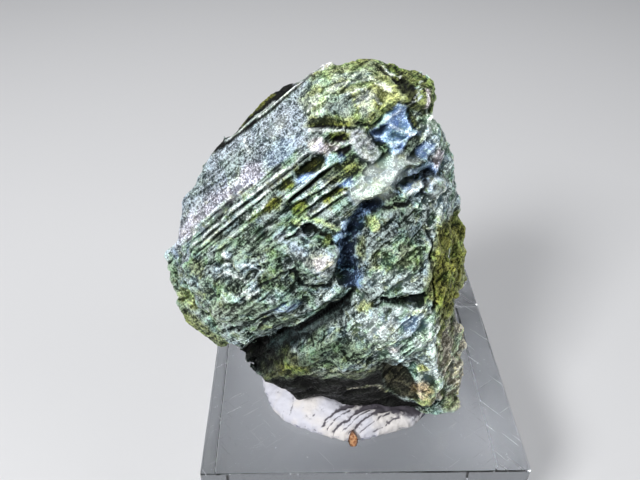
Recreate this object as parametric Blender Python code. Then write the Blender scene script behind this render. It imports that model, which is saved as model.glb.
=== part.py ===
"""Rough chrysoberyl on a clear acrylic display block, held upright by a pressed pad of putty.

The values are millimetres, and MM takes them into the scene's metres. The origin is the middle of
the block's underside, +Z is up, and the stone's broken front looks towards -Y.
"""

import math

import bmesh
import bpy
from mathutils import Vector, noise
from mathutils.bvhtree import BVHTree

MM = 0.001

# The display block: a square of cast acrylic with polished, barely eased edges.
BLOCK_SIDE = 32.0
BLOCK_HEIGHT = 16.0
BLOCK_EDGE = 0.25

# What touches in the real thing keeps this gap in the solids.
GAP = 0.3

# The putty: an uneven pad under the stone, pressed up against its foot. It thins out from its middle to
# its rim, with shallow slanting folds on its top, and is nowhere thinner than its thinnest film.
PUTTY_MIDDLE = (-1.3, -4.0)
PUTTY_RADIUS = 8.9
PUTTY_THICK = 2.7
PUTTY_RIM = 0.35
PUTTY_FILM = 0.1
PUTTY_FOLD = 0.25
PUTTY_ROUNDS = 56
PUTTY_RINGS = 10

# The pad's outline is a circle drawn out sideways, bulged towards its front right, with soft waves.
PUTTY_DRAWN_OUT = 0.75
PUTTY_BULGE = 0.4
PUTTY_BULGE_WAY = math.radians(320.0)
PUTTY_WAVE = 0.15
PUTTY_WAVES = 7

# The room for the putty is the lowest stone above a place and above eight places this far around it.
FEEL_REACH = 0.6
FEEL_STEPS = 8

# A brown flake of rock stuck to the front of the pad: its foot, its size, how far it leans back, how far
# it stands off the block, and its outline in parts of its width and its height.
FLAKE_FOOT = (-1.2, -13.45)
FLAKE_WIDE = 1.0
FLAKE_TALL = 1.6
FLAKE_THICK = 0.35
FLAKE_LEAN = math.radians(43.0)
FLAKE_CLEAR = 0.12
FLAKE_OUTLINE = [
    (-0.50, 0.30), (-0.38, 0.62), (-0.10, 1.00), (0.16, 0.86), (0.42, 0.55),
    (0.50, 0.25), (0.30, 0.02), (-0.28, 0.0),
]

# The stone is lumps grown together. Each is the hull of the corners where its broken faces meet.
UPPER_BLOCK = [
    (-18.0, -3.5, 35.0), (-17.0, -3.0, 38.5), (-15.1, -2.5, 41.6), (-13.2, -2.5, 44.1),
    (-11.0, -2.5, 46.0), (-9.7, -2.5, 47.2), (-6.4, -2.0, 49.9), (-4.9, -1.5, 50.6),
    (-4.1, -1.0, 51.0), (0.5, -1.0, 51.0), (3.0, -1.5, 51.0), (4.6, -2.4, 50.4),
    (4.6, -3.5, 49.4), (4.2, -4.5, 48.0), (-14.5, -6.5, 37.0), (-11.5, -8.0, 38.0),
    (-6.5, -8.5, 43.0), (-4.0, -7.5, 46.0), (-2.5, -6.5, 48.5), (1.5, -5.5, 49.5),
    (4.0, -7.0, 43.0), (0.0, -8.5, 43.0), (-13.5, 2.0, 35.0), (-11.5, 3.0, 41.0),
    (-6.0, 3.5, 46.0), (0.0, 3.5, 48.0), (3.5, 2.5, 46.0),
]
LOBE = [
    (-19.0, -4.0, 33.0), (-19.0, -4.5, 30.5), (-18.5, -5.0, 28.0), (-17.0, -6.0, 25.0),
    (-14.5, -7.0, 24.0), (-12.0, -9.0, 25.0), (-18.0, -4.5, 35.0), (-12.0, -9.5, 38.5),
    (-12.5, -11.5, 34.0), (-7.5, -10.0, 39.5), (-4.0, -10.5, 39.5), (-3.5, -11.5, 37.0),
    (-7.5, -12.0, 34.5), (-11.0, -11.0, 29.5), (-16.0, 0.5, 33.0), (-15.5, 0.0, 27.5),
    (-12.0, 2.0, 25.5), (-8.0, 3.0, 36.0),
]
LOWER_MASS = [
    (-11.5, -8.0, 22.0), (-10.0, -9.0, 20.5), (-6.5, -10.0, 19.5), (-2.0, -10.0, 18.4),
    (3.5, -10.0, 18.4), (8.0, -10.0, 17.1), (10.3, -9.9, 17.3), (9.5, -8.5, 22.0),
    (8.5, -7.0, 24.0), (9.0, -6.0, 25.0), (8.5, -6.0, 30.0), (-10.0, -11.0, 25.5),
    (-7.5, -13.0, 29.0), (-3.0, -13.5, 28.5), (2.5, -13.0, 27.0), (5.5, -12.0, 27.0),
    (-1.5, -12.5, 35.0), (3.5, -12.0, 35.5), (5.5, -8.5, 39.0), (-1.0, -10.0, 42.0),
    (1.5, -8.5, 43.0), (-6.5, -11.0, 30.0), (-8.0, 1.5, 21.0), (-5.0, 2.0, 18.2),
    (4.0, 2.0, 18.2), (8.0, 0.5, 19.5), (8.5, 2.0, 27.0), (-8.0, 4.0, 27.0),
]
RIGHT_WALL = [
    (5.0, -3.5, 47.0), (6.0, -3.0, 45.0), (6.5, -3.0, 44.0), (8.0, -2.5, 39.0), (9.0, -2.0, 35.5),
    (10.0, -1.5, 31.0), (11.0, -2.0, 28.0), (10.0, -3.0, 27.5), (9.0, -3.5, 26.5),
    (3.5, -5.0, 46.5), (4.0, -8.0, 42.0), (5.5, -9.0, 36.5), (5.5, 3.0, 43.0), (8.0, 4.0, 36.0),
    (9.0, 3.5, 29.0), (7.0, 5.0, 38.0),
]
BACK_PLATE = [
    (-13.6, 0.0, 42.4), (-12.0, 0.0, 44.5), (-11.0, 0.0, 46.0), (-9.8, 0.5, 47.0), (-8.0, 0.5, 48.2),
    (-5.8, 0.5, 49.2), (-4.5, 0.5, 49.6), (-10.5, 3.0, 42.0), (-4.0, 4.0, 46.0), (-9.0, -2.0, 40.0),
    (-12.5, 0.5, 38.0), (-4.0, -2.0, 44.0),
]
BACK_MASS = [
    (-4.5, 1.5, 48.0), (0.5, 1.5, 48.5), (3.5, 1.0, 46.5), (-10.5, 2.0, 43.0), (-14.5, 1.0, 36.0),
    (-15.0, 0.5, 29.0), (-11.0, 2.0, 24.0), (-8.5, 4.5, 38.0), (-3.0, 5.5, 42.0), (2.5, 5.0, 41.0),
    (-8.0, 5.5, 30.0), (-2.0, 6.5, 34.0), (4.5, 5.5, 32.0), (3.5, 5.5, 24.5), (-3.5, 5.5, 22.5),
    (8.0, 3.0, 33.0), (8.0, 2.0, 24.0), (-6.0, 3.0, 19.0), (4.5, 3.0, 18.8), (5.0, -1.0, 22.0),
]
CORE = [
    (-14.5, -5.8, 36.6), (-11.5, -7.4, 37.8), (-6.5, -7.8, 42.6), (-4.0, -7.0, 45.5),
    (4.0, -6.5, 42.6), (0.0, -8.2, 42.8), (-12.0, -8.9, 38.1), (-12.5, -10.6, 33.6),
    (-4.0, -10.2, 39.2), (-3.5, -11.2, 36.6), (-7.5, -11.4, 34.1), (-11.0, -10.3, 29.2),
    (-12.0, -8.0, 25.0), (-12.2, -6.5, 22.4), (-6.0, -10.8, 28.0), (-1.5, -11.6, 34.8),
    (3.5, -11.3, 35.2), (5.5, -8.0, 38.8), (5.5, -7.0, 41.5), (5.0, -1.0, 22.0), (-2.0, 3.0, 34.0),
]

# The even mesh that the breakage is worked into, and how many faces are kept of it.
STONE_VOXEL = 0.5
STONE_FACES = 7400

# The broken front leans back. Its relief is placed on it by two distances, across and up the face.
FACE_MIDDLE = Vector((-4.0, -10.0, 36.0))
FACE_LEAN = math.radians(25.0)
ACROSS = Vector((1.0, 0.0, 0.0))
UP_FACE = Vector((0.0, math.sin(FACE_LEAN), math.cos(FACE_LEAN)))
OUT_OF_FACE = Vector((0.0, -math.cos(FACE_LEAN), math.sin(FACE_LEAN)))

# Crystal ledges, parallel steps down from the smooth plane at the upper left: where the step's edge
# lies over the grain, where it starts and ends along the grain, its drop and the run of its tread.
GRAIN_TILT = math.radians(37.5)
PLANE_EDGE = -9.4
LEDGES = [
    (-9.4, -8.5, 4.5, 0.60, 3.2), (-8.3, -7.0, 3.0, 0.50, 3.0), (-7.1, 0.5, 6.0, 0.80, 2.2),
    (-6.4, -5.0, 0.5, 0.55, 2.4), (-5.6, 0.8, 5.5, 0.75, 2.2), (-4.4, 0.0, 3.0, 0.60, 1.8),
]

# Hollows and swellings of the front: middle across and up the face, half width and half height,
# the turn in degrees, and the height out of the face, less than nothing for a hollow.
SPOTS = [
    (4.8, 12.3, 2.3, 1.5, 30.0, -1.3),    # blue patch under the top right corner
    (-0.4, 12.2, 1.8, 0.6, 0.0, -1.3),    # slot under the yellow dome
    (0.4, 10.9, 1.1, 0.8, 20.0, -1.2),    # holes below the slot
    (-1.3, 9.3, 1.8, 0.7, 38.0, -1.0),    # pockets among the ledges
    (-2.3, 6.0, 1.7, 0.7, 38.0, -1.0),
    (6.9, 8.2, 2.2, 0.9, 22.0, -2.0),     # deep hollow behind the slab
    (6.8, -2.1, 1.3, 0.6, 0.0, -1.6),     # pit in the lower right
    (7.3, -10.4, 1.8, 1.8, 0.0, -1.5),    # alcove at the foot
    (2.5, 14.6, 4.8, 2.8, -5.0, 0.9),     # yellow dome
    (-1.0, 1.6, 2.2, 1.8, 20.0, 1.1),     # knot at the right end of the lobe
    (-8.5, -1.5, 6.0, 4.5, 15.0, 0.6),    # swell of the lobe
    (3.9, 7.7, 3.0, 0.9, 27.0, 1.4),      # pale slab
    (8.6, 7.4, 1.3, 1.0, 0.0, 0.9),       # dark rounded block beside the hollow
    (8.8, 11.6, 1.3, 2.2, 10.0, 0.6),     # whitish lumps at the right edge
    (5.6, -5.0, 4.0, 3.5, 0.0, 0.7),      # swell of the lower right
    (9.7, -12.8, 1.1, 1.1, 0.0, 1.0),     # amber lump at the foot
]

# Grooves and ridges that follow a line over the front: the places it passes, its half width at both
# ends, and its height out of the face at both ends.
LINES = [
    ([(3.4, 6.0), (2.4, 4.4), (1.7, 2.6), (1.6, 1.2), (1.4, -0.6)], (0.9, 0.8), (-1.5, -1.5)),
    ([(-7.5, -11.0), (-4.9, -8.6), (-2.5, -6.0), (0.0, -3.8), (2.1, -1.9)], (2.0, 1.0), (-3.0, -1.8)),
    ([(9.6, -2.0), (9.9, -7.0), (10.4, -12.0)], (0.8, 0.8), (0.7, 0.5)),
]

# The broken grain: big tilted chips, then lumps, then grit, each with its pitch and its height. The seed
# settles which way each chip leans, so that the stone comes out the same every time.
CHIP_SEED = 2
CHIP_PITCH = 3.2
CHIP_TILT = 0.4
LUMP_PITCH = 4.5
LUMP_HEIGHT = 0.45
GRIT_PITCH = 1.5
GRIT_HEIGHT = 0.15


def smooth_step(start, end, value):
    part = min(max((value - start) / (end - start), 0.0), 1.0)
    return part * part * (3.0 - 2.0 * part)


def new_object(name, mesh):
    obj = bpy.data.objects.new(name, mesh)
    bpy.context.scene.collection.objects.link(obj)
    return obj


def mesh_object(name, bm):
    """Turns a finished bmesh into an object, all its faces looking out."""
    bmesh.ops.recalc_face_normals(bm, faces=bm.faces)
    mesh = bpy.data.meshes.new(name)
    bm.to_mesh(mesh)
    bm.free()
    return new_object(name, mesh)


def give_material(obj, colour, roughness, transmission=0.0, ior=1.5):
    material = bpy.data.materials.new(obj.name)
    material.use_nodes = True
    surface = material.node_tree.nodes["Principled BSDF"]
    surface.inputs["Base Color"].default_value = (*colour, 1.0)
    surface.inputs["Roughness"].default_value = roughness
    surface.inputs["Metallic"].default_value = 0.0
    surface.inputs["Transmission Weight"].default_value = transmission
    surface.inputs["IOR"].default_value = ior
    obj.data.materials.append(material)


def hull_object(name, corners):
    """The convex hull of a lump's corners."""
    bm = bmesh.new()
    for corner in corners:
        bm.verts.new(Vector(corner) * MM)
    made = bmesh.ops.convex_hull(bm, input=bm.verts)
    inside = {v for v in made["geom_interior"] + made["geom_unused"] if isinstance(v, bmesh.types.BMVert)}
    bmesh.ops.delete(bm, geom=list(inside), context="VERTS")
    return mesh_object(name, bm)


def spot_height(across, up):
    """The height that the hollows and swellings add at a place on the front."""
    height = 0.0
    for middle_across, middle_up, half_wide, half_high, turn, peak in SPOTS:
        angle = math.radians(turn)
        right = across - middle_across
        above = up - middle_up
        along = right * math.cos(angle) + above * math.sin(angle)
        over = above * math.cos(angle) - right * math.sin(angle)
        far = math.hypot(along / half_wide, over / half_high)
        height += peak * (1.0 - smooth_step(0.45, 1.15, far))
    return height


def line_height(across, up):
    """The height that the grooves and ridges add at a place on the front."""
    height = 0.0
    place = Vector((across, up))
    for stops, widths, peaks in LINES:
        nearest = None
        for i in range(len(stops) - 1):
            start = Vector(stops[i])
            run = Vector(stops[i + 1]) - start
            part = min(max((place - start).dot(run) / run.length_squared, 0.0), 1.0)
            far = (place - start - run * part).length
            if nearest is None or far < nearest[0]:
                nearest = (far, (i + part) / (len(stops) - 1))
        far, travel = nearest
        width = widths[0] + (widths[1] - widths[0]) * travel
        peak = peaks[0] + (peaks[1] - peaks[0]) * travel
        height += peak * (1.0 - smooth_step(0.35, 1.25, far / width))
    return height


def ledge_height(along_grain, over_grain):
    """The steps of the crystal ledges: a sharp drop at each edge, and a tread that rises again."""
    height = 0.0
    for edge, start, end, drop, run in LEDGES:
        beyond = over_grain - edge
        if 0.0 < beyond < run:
            ends = smooth_step(start - 0.5, start + 0.5, along_grain)
            ends *= 1.0 - smooth_step(end - 0.5, end + 0.5, along_grain)
            height -= drop * (1.0 - beyond / run) * ends
    return height


def chip_height(place):
    """Tilted flat chips: each cell of the breakage is a small plane of its own."""
    middle = noise.voronoi(place / CHIP_PITCH)[1][0]
    lean = noise.noise_vector(middle * 7.3)
    return CHIP_TILT * lean.dot(place - middle * CHIP_PITCH)


def work_stone(bm):
    """Works the ledges, hollows, lumps and chips into the joined lumps."""
    bm.normal_update()
    moves = []
    for vert in bm.verts:
        place = vert.co / MM
        facing = smooth_step(0.1, 0.5, vert.normal.dot(OUT_OF_FACE))
        away = place - FACE_MIDDLE
        across = away.dot(ACROSS)
        up = away.dot(UP_FACE)
        along_grain = across * math.cos(GRAIN_TILT) + up * math.sin(GRAIN_TILT)
        over_grain = across * math.sin(GRAIN_TILT) - up * math.cos(GRAIN_TILT)
        relief = spot_height(across, up) + line_height(across, up) + ledge_height(along_grain, over_grain)
        plane = facing * (1.0 - smooth_step(PLANE_EDGE - 0.6, PLANE_EDGE, over_grain))
        rough = 1.0 - 0.85 * plane
        lumps = noise.fractal(place / LUMP_PITCH, 0.9, 2.2, 4) * LUMP_HEIGHT
        grit = (0.5 - noise.voronoi(place / GRIT_PITCH)[0][0]) * GRIT_HEIGHT
        grain = (lumps + grit + chip_height(place)) * rough
        moves.append(OUT_OF_FACE * relief * facing + vert.normal * grain)
    for vert, move in zip(bm.verts, moves):
        vert.co += move * MM


def make_stone():
    """Rough chrysoberyl: lumps joined into one solid, its breakage worked in, then thinned out."""
    lumps = hull_object("stone_lumps", UPPER_BLOCK)
    helpers = [lumps]
    for name, corners in (
        ("lobe", LOBE), ("lower_mass", LOWER_MASS), ("right_wall", RIGHT_WALL),
        ("back_plate", BACK_PLATE), ("back_mass", BACK_MASS), ("core", CORE),
    ):
        lump = hull_object(name, corners)
        helpers.append(lump)
        union = lumps.modifiers.new("join_" + name, "BOOLEAN")
        union.operation = "UNION"
        union.object = lump
    even = lumps.modifiers.new("even_mesh", "REMESH")
    even.mode = "VOXEL"
    even.voxel_size = STONE_VOXEL * MM
    joined = lumps.evaluated_get(bpy.context.evaluated_depsgraph_get())
    bm = bmesh.new()
    bm.from_mesh(joined.to_mesh())
    joined.to_mesh_clear()
    for helper in helpers:
        bpy.data.objects.remove(helper)
    work_stone(bm)
    stone = mesh_object("stone", bm)
    thin = stone.modifiers.new("thin_out", "DECIMATE")
    thin.ratio = STONE_FACES / (2 * len(stone.data.polygons))
    thin.use_collapse_triangulate = True
    give_material(stone, (0.17, 0.22, 0.15), 0.45)
    return stone


def make_block():
    """Clear acrylic block, standing on the origin."""
    bm = bmesh.new()
    bmesh.ops.create_cube(bm, size=1.0)
    for vert in bm.verts:
        vert.co.x *= BLOCK_SIDE * MM
        vert.co.y *= BLOCK_SIDE * MM
        vert.co.z = (vert.co.z + 0.5) * BLOCK_HEIGHT * MM
    block = mesh_object("block", bm)
    eased = block.modifiers.new("eased_edges", "BEVEL")
    eased.width = BLOCK_EDGE * MM
    eased.segments = 2
    give_material(block, (0.97, 0.98, 1.0), 0.03, 1.0, 1.49)
    return block


def putty_edge(angle):
    """The pad's outline: how far its edge is from its middle, in a direction."""
    wide = PUTTY_DRAWN_OUT * math.cos(2.0 * angle) + PUTTY_BULGE * math.cos(angle - PUTTY_BULGE_WAY)
    return PUTTY_RADIUS + wide + PUTTY_WAVE * math.sin(PUTTY_WAVES * angle)


def room_under(foot, x, y):
    """How high the putty may stand at a place before it meets the stone, feeling around the place."""
    room = BLOCK_HEIGHT + GAP + PUTTY_THICK
    feelers = [Vector((x, y, BLOCK_HEIGHT))]
    for step in range(FEEL_STEPS):
        turn = 2.0 * math.pi * step / FEEL_STEPS
        feelers.append(feelers[0] + FEEL_REACH * Vector((math.cos(turn), math.sin(turn), 0.0)))
    for feeler in feelers:
        hit = foot.ray_cast(feeler * MM, Vector((0.0, 0.0, 1.0)))
        if hit[0] is not None:
            room = min(room, hit[0].z / MM - GAP)
    return room


def make_putty(stone):
    """Pad of white putty on the block, its top pressed to the shape of the stone's foot."""
    foot = BVHTree.FromObject(stone, bpy.context.evaluated_depsgraph_get())
    bottom = BLOCK_HEIGHT + GAP
    bm = bmesh.new()
    rings = []
    for ring in range(1, PUTTY_RINGS + 1):
        part = math.sin(0.5 * math.pi * ring / PUTTY_RINGS)
        row = []
        for step in range(PUTTY_ROUNDS):
            angle = 2.0 * math.pi * step / PUTTY_ROUNDS
            way = Vector((math.cos(angle), math.sin(angle), 0.0))
            place = Vector((*PUTTY_MIDDLE, 0.0)) + way * putty_edge(angle) * part
            folds = noise.noise(Vector((place.x * 0.5 - place.y * 0.5, (place.x + place.y) * 0.15, 3.0)))
            rise = PUTTY_THICK - PUTTY_RIM + PUTTY_FOLD * folds
            top = bottom + PUTTY_RIM + rise * (1.0 - part ** 4)
            place.z = max(min(top, room_under(foot, place.x, place.y)), bottom + PUTTY_FILM)
            row.append(bm.verts.new(place * MM))
        rings.append(row)
    crown = bm.verts.new(Vector((*PUTTY_MIDDLE, room_under(foot, *PUTTY_MIDDLE))) * MM)
    base = [bm.verts.new((v.co.x, v.co.y, bottom * MM)) for v in rings[-1]]
    for step in range(PUTTY_ROUNDS):
        after = (step + 1) % PUTTY_ROUNDS
        bm.faces.new((crown, rings[0][step], rings[0][after]))
        for inner, outer in zip(rings, rings[1:]):
            bm.faces.new((inner[step], outer[step], outer[after], inner[after]))
        bm.faces.new((rings[-1][step], base[step], base[after], rings[-1][after]))
    bm.faces.new(base)
    putty = mesh_object("putty", bm)
    give_material(putty, (0.80, 0.78, 0.80), 0.6)
    return putty


def make_flake():
    """Teardrop flake leaning on the pad's front edge, its foot on the block."""
    bm = bmesh.new()
    up = Vector((0.0, math.sin(FLAKE_LEAN), math.cos(FLAKE_LEAN)))
    front = Vector((0.0, -math.cos(FLAKE_LEAN), math.sin(FLAKE_LEAN)))
    foot = Vector((FLAKE_FOOT[0], FLAKE_FOOT[1], BLOCK_HEIGHT + GAP))
    for wide, tall in FLAKE_OUTLINE:
        for side in (-0.5, 0.5):
            corner = foot + ACROSS * wide * FLAKE_WIDE + up * (tall * FLAKE_TALL + FLAKE_CLEAR)
            bm.verts.new((corner + front * side * FLAKE_THICK) * MM)
    bmesh.ops.convex_hull(bm, input=bm.verts)
    flake = mesh_object("flake", bm)
    give_material(flake, (0.42, 0.17, 0.05), 0.5)
    return flake


def main():
    for obj in list(bpy.data.objects):
        bpy.data.objects.remove(obj)
    noise.seed_set(CHIP_SEED)
    stone = make_stone()
    make_putty(stone)
    make_block()
    make_flake()


main()
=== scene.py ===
import math

import bmesh
import bpy
import numpy as np
from mathutils import Matrix, Vector, noise


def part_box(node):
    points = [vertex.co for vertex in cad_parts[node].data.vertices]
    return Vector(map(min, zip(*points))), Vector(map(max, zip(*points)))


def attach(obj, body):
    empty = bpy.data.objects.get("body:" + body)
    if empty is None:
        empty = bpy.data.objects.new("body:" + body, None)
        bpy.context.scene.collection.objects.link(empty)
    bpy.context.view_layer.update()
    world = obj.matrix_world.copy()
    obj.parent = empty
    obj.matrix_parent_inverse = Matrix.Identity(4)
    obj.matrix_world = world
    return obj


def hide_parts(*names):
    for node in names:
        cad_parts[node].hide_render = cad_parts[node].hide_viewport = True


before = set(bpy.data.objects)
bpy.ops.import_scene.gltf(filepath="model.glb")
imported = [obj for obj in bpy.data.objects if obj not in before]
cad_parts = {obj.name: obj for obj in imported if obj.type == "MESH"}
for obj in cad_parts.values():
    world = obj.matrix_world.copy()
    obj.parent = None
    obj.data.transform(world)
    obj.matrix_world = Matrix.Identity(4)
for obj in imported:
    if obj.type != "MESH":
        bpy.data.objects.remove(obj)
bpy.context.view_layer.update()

MM = 0.001

# The stone: rough chrysoberyl, a natural lump of crystal, broken along its grain and stood in putty. Its
# front leans back and carries a smooth crystal plane, striated ledges, a yellow crust, blue patches and
# granular masses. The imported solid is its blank, and the breakage and the colours are added to that.

# The seed settles which way each chip leans, so that every run gives the same stone.
BREAKAGE_SEED = 1
noise.seed_set(BREAKAGE_SEED)
STONE_VOXEL = 0.22

# Marks on the front are placed in millimetres across and up its leaning face, from the face's middle. The
# grain runs up it to the right.
FACE_MIDDLE = np.array((-4.0, -10.0, 36.0))
FACE_LEAN = math.radians(25.0)
ACROSS = np.array((1.0, 0.0, 0.0))
UP_FACE = np.array((0.0, math.sin(FACE_LEAN), math.cos(FACE_LEAN)))
OUT_OF_FACE = np.array((0.0, -math.cos(FACE_LEAN), math.sin(FACE_LEAN)))
GRAIN_TILT = math.radians(40.0)
GRAIN_AXES = (
    ACROSS * math.cos(GRAIN_TILT) + UP_FACE * math.sin(GRAIN_TILT),
    ACROSS * math.sin(GRAIN_TILT) - UP_FACE * math.cos(GRAIN_TILT),
    -OUT_OF_FACE,
)

# The crystal's colours, each as a shaded and a lit copy: deep is painted shade in a hollow, bright a painted
# highlight on an edge, and the grain also moves between the two.
GREEN = ((0.006, 0.013, 0.010), (0.335, 0.40, 0.39))
LEAF = ((0.006, 0.013, 0.005), (0.20, 0.28, 0.16))
MOSS = ((0.008, 0.012, 0.001), (0.23, 0.26, 0.05))
OLIVE = ((0.02, 0.022, 0.001), (0.34, 0.35, 0.08))
GOLD = ((0.08, 0.09, 0.015), (0.60, 0.63, 0.22))
YELLOW = ((0.03, 0.042, 0.012), (0.46, 0.53, 0.27))
PEAT = ((0.004, 0.006, 0.001), (0.085, 0.095, 0.035))
BROWN = ((0.15, 0.14, 0.10), (0.70, 0.66, 0.54))
AMBER = ((0.07, 0.035, 0.014), (0.60, 0.38, 0.20))
LAVENDER = ((0.035, 0.05, 0.058), (0.44, 0.50, 0.56))
LILAC = ((0.16, 0.155, 0.19), (0.74, 0.72, 0.82))
ROSE = ((0.26, 0.23, 0.24), (0.86, 0.78, 0.82))
BLUE = ((0.16, 0.26, 0.50), (0.58, 0.75, 1.00))
NAVY = ((0.006, 0.014, 0.036), (0.20, 0.31, 0.52))
PALE = ((0.12, 0.17, 0.16), (0.74, 0.84, 0.83))
MILKY = ((0.46, 0.52, 0.50), (0.76, 0.83, 0.81))
WHITE = ((0.45, 0.50, 0.49), (0.94, 0.98, 0.97))
GREY = ((0.10, 0.115, 0.125), (0.56, 0.59, 0.62))
TEAL = ((0.001, 0.003, 0.003), (0.022, 0.036, 0.036))
SMOKE = ((0.010, 0.010, 0.006), (0.080, 0.076, 0.046))
DARK = ((0.0004, 0.0005, 0.0004), (0.006, 0.007, 0.005))


def smooth_step(start, end, value):
    part = np.clip((value - start) / (end - start), 0.0, 1.0)
    return part * part * (3.0 - 2.0 * part)


def field(places, kind):
    """A noise value at each place: kind is a function of one place."""
    return np.array([kind(Vector(place)) for place in places])


def clouds(octaves):
    return lambda place: noise.fractal(place, 0.8, 2.1, octaves)


def chip(place):
    """A broken flat: each cell leans and stands out in its own way."""
    middle = noise.voronoi(place)[1][0]
    lean = noise.noise_vector(middle * 7.3)
    return lean.dot(place - middle) + 0.2 * noise.noise(middle * 3.7)


def nodule(place):
    return 0.5 - noise.voronoi(place)[0][0]


def crack(place):
    distances = noise.voronoi(place)[0]
    return distances[1] - distances[0]


def far_from(across, up, start, end):
    """How far each place is from a straight line between two stops."""
    run = np.subtract(end, start)
    part = np.clip(((across - start[0]) * run[0] + (up - start[1]) * run[1]) / (run @ run), 0.0, 1.0)
    return np.hypot(across - start[0] - part * run[0], up - start[1] - part * run[1])


MERGE_GAP = 0.001
BLANK_SMOOTHING = 4


def fine_blank(node, voxel):
    """A CAD node's shape as an even fine mesh."""
    bm = bmesh.new()
    bm.from_mesh(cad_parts[node].data)
    bmesh.ops.remove_doubles(bm, verts=bm.verts, dist=MERGE_GAP * MM)
    mesh = bpy.data.meshes.new(node + "_blank")
    bm.to_mesh(mesh)
    bm.free()
    blank = bpy.data.objects.new(node + "_blank", mesh)
    bpy.context.scene.collection.objects.link(blank)
    even = blank.modifiers.new("even", "REMESH")
    even.mode = "VOXEL"
    even.voxel_size = voxel * MM
    soften = blank.modifiers.new("soften", "SMOOTH")
    soften.iterations = BLANK_SMOOTHING
    fine = bpy.data.meshes.new_from_object(blank.evaluated_get(bpy.context.evaluated_depsgraph_get()))
    bpy.data.objects.remove(blank)
    return fine


def read_places(mesh):
    places = np.empty(len(mesh.vertices) * 3)
    mesh.vertices.foreach_get("co", places)
    return places.reshape(-1, 3) / MM


def read_normals(mesh):
    normals = np.empty(len(mesh.vertices) * 3)
    mesh.vertex_normals.foreach_get("vector", normals)
    return normals.reshape(-1, 3)


def write_places(mesh, places):
    mesh.vertices.foreach_set("co", (places * MM).ravel())
    mesh.update()


def stands_in(mesh, places, normals, rounds):
    """How far each place lies below its neighbours' average, in millimetres."""
    edges = np.empty(len(mesh.edges) * 2, dtype=np.int64)
    mesh.edges.foreach_get("vertices", edges)
    ends = edges.reshape(-1, 2).T
    count = np.bincount(edges, minlength=len(places))[:, None]
    average = places
    for step in range(rounds):
        total = np.zeros_like(average)
        np.add.at(total, ends[0], average[ends[1]])
        np.add.at(total, ends[1], average[ends[0]])
        average = 0.5 * average + 0.5 * total / count
    return ((average - places) * normals).sum(axis=1)


def give_number(mesh, name, values):
    layer = mesh.attributes.new(name, "FLOAT", "POINT")
    layer.data.foreach_set("value", values)


def give_colour(mesh, name, colours):
    layer = mesh.attributes.new(name, "FLOAT_COLOR", "POINT")
    layer.data.foreach_set("color", np.column_stack((colours, np.ones(len(colours)))).ravel())


class Skin:
    """The stone's surface while it is worked: its places on the face, its relief and its colours."""

    WAVER_SIZE = 0.9
    WAVER_REACH = 0.24
    FAR_AWAY = 1e9

    def __init__(self, places, normals):
        shifted = [(places + shift) / self.WAVER_SIZE for shift in (11.0, 37.0)]
        waver = np.stack([field(moved, clouds(3)) for moved in shifted]) * self.WAVER_REACH
        self.true_across = (places - FACE_MIDDLE) @ ACROSS
        self.true_up = (places - FACE_MIDDLE) @ UP_FACE
        self.across = self.true_across + waver[0]
        self.up = self.true_up + waver[1]
        self.front = smooth_step(-0.25, 0.1, normals @ OUT_OF_FACE)
        self.relief = np.zeros(len(places))
        self.calm = np.zeros(len(places))
        self.deep = np.tile(GREEN[0], (len(places), 1))
        self.bright = np.tile(GREEN[1], (len(places), 1))

    def lay(self, mask, colours, strength, height=0.0, calm=0.0):
        """Takes the colours to these, adds to the relief and calms the grain, as far as the mask says."""
        cover = (mask * strength)[:, None]
        self.deep = self.deep + (np.array(colours[0]) - self.deep) * cover
        self.bright = self.bright + (np.array(colours[1]) - self.bright) * cover
        self.relief += mask * height
        self.calm = np.maximum(self.calm * (1.0 - mask * strength), mask * calm)

    def oval(self, middle_across, middle_up, half_wide, half_high, turn=0.0):
        angle = math.radians(turn)
        right = self.across - middle_across
        above = self.up - middle_up
        along = (right * math.cos(angle) + above * math.sin(angle)) / half_wide
        over = (above * math.cos(angle) - right * math.sin(angle)) / half_high
        return self.front * (1.0 - smooth_step(0.65, 1.15, np.hypot(along, over)))

    def drawn(self, waver):
        """The places on the face as a mark is drawn on them: true at 0, wavering at 1."""
        across = self.true_across + (self.across - self.true_across) * waver
        return across, self.true_up + (self.up - self.true_up) * waver

    def patch(self, stops, soft=0.2, waver=1.0):
        """Inside a closed outline through the stops."""
        across, up = self.drawn(waver)
        far = np.full(self.across.shape, self.FAR_AWAY)
        inside = np.zeros(self.across.shape, dtype=bool)
        for start, end in zip(stops, stops[1:] + stops[:1]):
            far = np.minimum(far, far_from(across, up, start, end))
            spans = (start[1] > up) != (end[1] > up)
            slope = (end[0] - start[0]) / (end[1] - start[1] + 1e-9)
            inside ^= spans & (across < start[0] + (up - start[1]) * slope)
        return self.front * smooth_step(-soft, soft, np.where(inside, far, -far))

    def stroke(self, stops, width, waver=1.0):
        """Along an open line through the stops."""
        across, up = self.drawn(waver)
        far = np.full(self.across.shape, self.FAR_AWAY)
        for start, end in zip(stops, stops[1:]):
            far = np.minimum(far, far_from(across, up, start, end))
        return self.front * (1.0 - smooth_step(0.3, 1.0, far / width))

    def ledge(self, start, end, drop, run, colours, strength):
        """A plate's broken edge: a lip painted white as a highlight, a sharp drop to its lower right, and the
        hollow's colour below it, which in the dark colours is painted shade.
        """
        reach = math.dist(start, end)
        way = np.subtract(end, start) / reach
        across, up = self.drawn(0.1)
        along = (across - start[0]) * way[0] + (up - start[1]) * way[1]
        below = (across - start[0]) * way[1] - (up - start[1]) * way[0]
        ends = self.front * smooth_step(-0.4, 0.2, along) * (1.0 - smooth_step(-0.2, 0.4, along - reach))
        fallen = ends * smooth_step(0.0, 0.16, below) * (1.0 - smooth_step(0.45, 1.0, below / run))
        lip = ends * smooth_step(-0.30, -0.14, below) * (1.0 - smooth_step(-0.04, 0.06, below))
        self.lay(fallen, colours, strength, -drop)
        self.lay(lip, WHITE, 0.8 * strength, 0.08, 0.3)


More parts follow.
